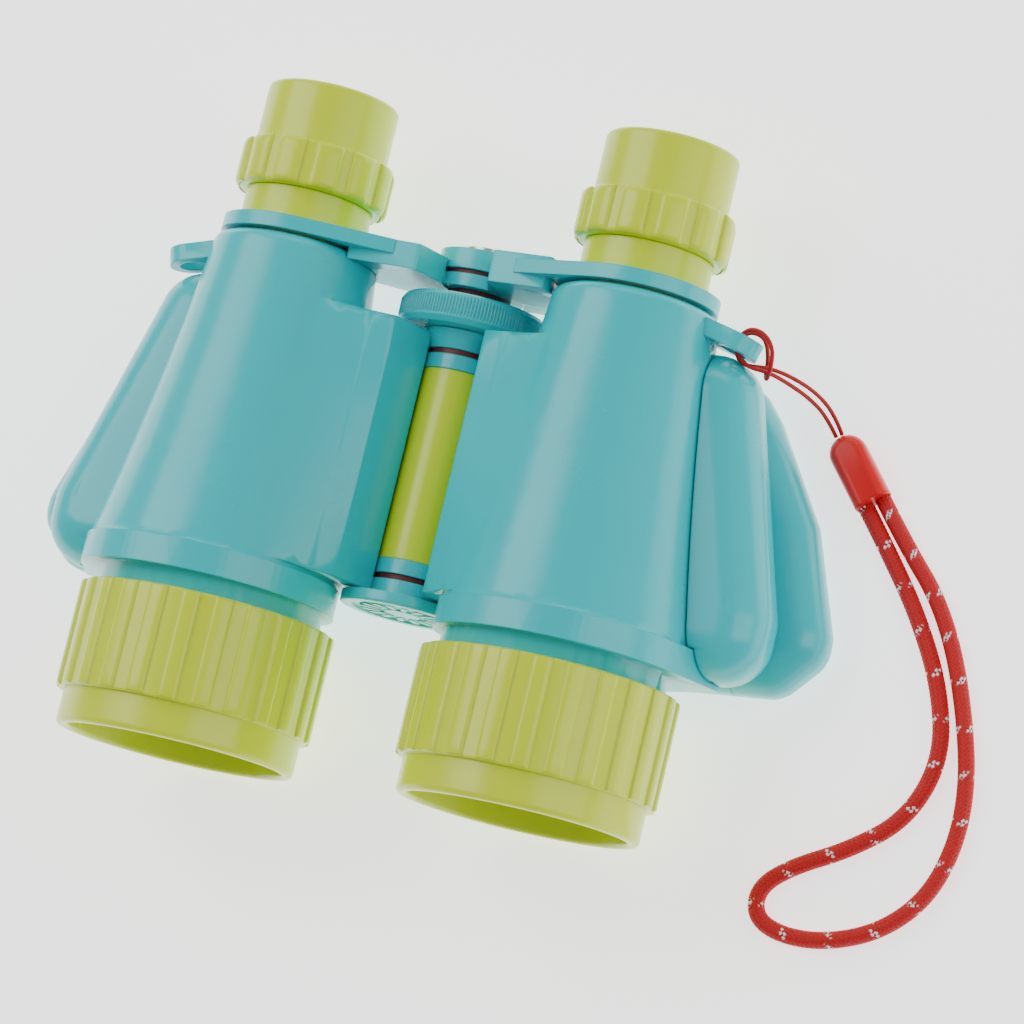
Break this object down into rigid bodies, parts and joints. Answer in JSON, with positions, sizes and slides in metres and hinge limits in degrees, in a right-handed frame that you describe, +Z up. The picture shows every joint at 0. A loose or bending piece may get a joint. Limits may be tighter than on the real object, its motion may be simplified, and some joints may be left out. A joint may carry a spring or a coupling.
{
  "type": "toy binoculars",
  "caption": "Children's binoculars with ribbed objective hoods, twisting eyecups, centre focus wheel, folding hinge, side grips and a braided wrist strap.",
  "frame": {"origin": "on the table, under the middle of the binoculars without their strap", "axes": "+X to the right across both barrels, +Y from the objectives to the eyepieces, +Z up"},
  "size_m": [0.188, 0.1367, 0.048],
  "materials": {
    "turquoise_abs": "glossy moulded ABS",
    "lime_abs": "glossy moulded ABS",
    "optical_acrylic": "polished clear lens",
    "dark_red_rubber": "moulded rubber washer",
    "plated_steel": "zinc plated",
    "red_soft_plastic": "satin moulded",
    "red_braid": "braided polyester with white flecks",
    "red_thin_cord": "fine braided polyester",
    "black_plastic": "matt moulded"
  },
  "bodies": {
    "left_barrel": {"left_housing": "turquoise_abs", "left_grip_base": "turquoise_abs", "left_grip_cover": "turquoise_abs", "left_grip_screws": "plated_steel", "left_objective_hood": "lime_abs", "left_objective_lens": "optical_acrylic", "left_lens_retainer": "black_plastic", "hinge_pin": "plated_steel", "front_cap": "turquoise_abs", "front_washer": "dark_red_rubber", "rear_washer": "dark_red_rubber"},
    "right_barrel": {"right_housing": "turquoise_abs", "right_grip_base": "turquoise_abs", "right_grip_cover": "turquoise_abs", "right_grip_screws": "plated_steel", "right_objective_hood": "lime_abs", "right_objective_lens": "optical_acrylic", "right_lens_retainer": "black_plastic", "hinge_sleeve": "lime_abs", "strap_cord": "red_thin_cord", "strap_cap": "red_soft_plastic", "strap_rope": "red_braid"},
    "focus_knob": {"focus_wheel": "turquoise_abs"},
    "left_ocular": {"left_bridge": "turquoise_abs", "left_ocular_tube": "lime_abs", "left_eyepiece_lens": "optical_acrylic", "focus_screw": "plated_steel", "focus_boot": "dark_red_rubber", "bridge_washer": "dark_red_rubber", "bridge_screw": "plated_steel"},
    "right_ocular": {"right_bridge": "turquoise_abs", "right_ocular_tube": "lime_abs", "right_eyepiece_lens": "optical_acrylic"},
    "left_cup": {"left_ocular_ring": "lime_abs", "left_eyecup": "lime_abs"},
    "right_cup": {"right_ocular_ring": "lime_abs", "right_eyecup": "lime_abs"}
  },
  "joints": [
    {"name": "hinge_fold", "type": "hinge", "parent": "left_barrel", "child": "right_barrel", "pos_m": [0, 0, 0.01505], "axis": [0, -1, 0], "range_deg": [0, 40]},
    {"name": "focus_turn", "type": "hinge", "parent": "left_barrel", "child": "focus_knob", "pos_m": [0, 0, 0.01505], "axis": [0, 1, 0], "range_deg": [0, 300]},
    {"name": "left_focus_slide", "type": "slide", "parent": "left_barrel", "child": "left_ocular", "axis": [0, 1, 0], "range_m": [0, 0.004]},
    {"name": "right_focus_slide", "type": "slide", "parent": "right_barrel", "child": "right_ocular", "axis": [0, 1, 0], "range_m": [0, 0.004]},
    {"name": "left_eyecup_turn", "type": "hinge", "parent": "left_ocular", "child": "left_cup", "pos_m": [-0.034, 0.05, 0.02405], "axis": [0, 1, 0], "range_deg": [-45, 45]},
    {"name": "right_eyecup_turn", "type": "hinge", "parent": "right_ocular", "child": "right_cup", "pos_m": [0.034, 0.05, 0.02405], "axis": [0, 1, 0], "range_deg": [-45, 45]}
  ],
  "couplings": [
    {"joint": "left_focus_slide", "follows": "focus_turn", "m_per_rad": 0.00065},
    {"joint": "right_focus_slide", "follows": "focus_turn", "m_per_rad": 0.00065}
  ]
}
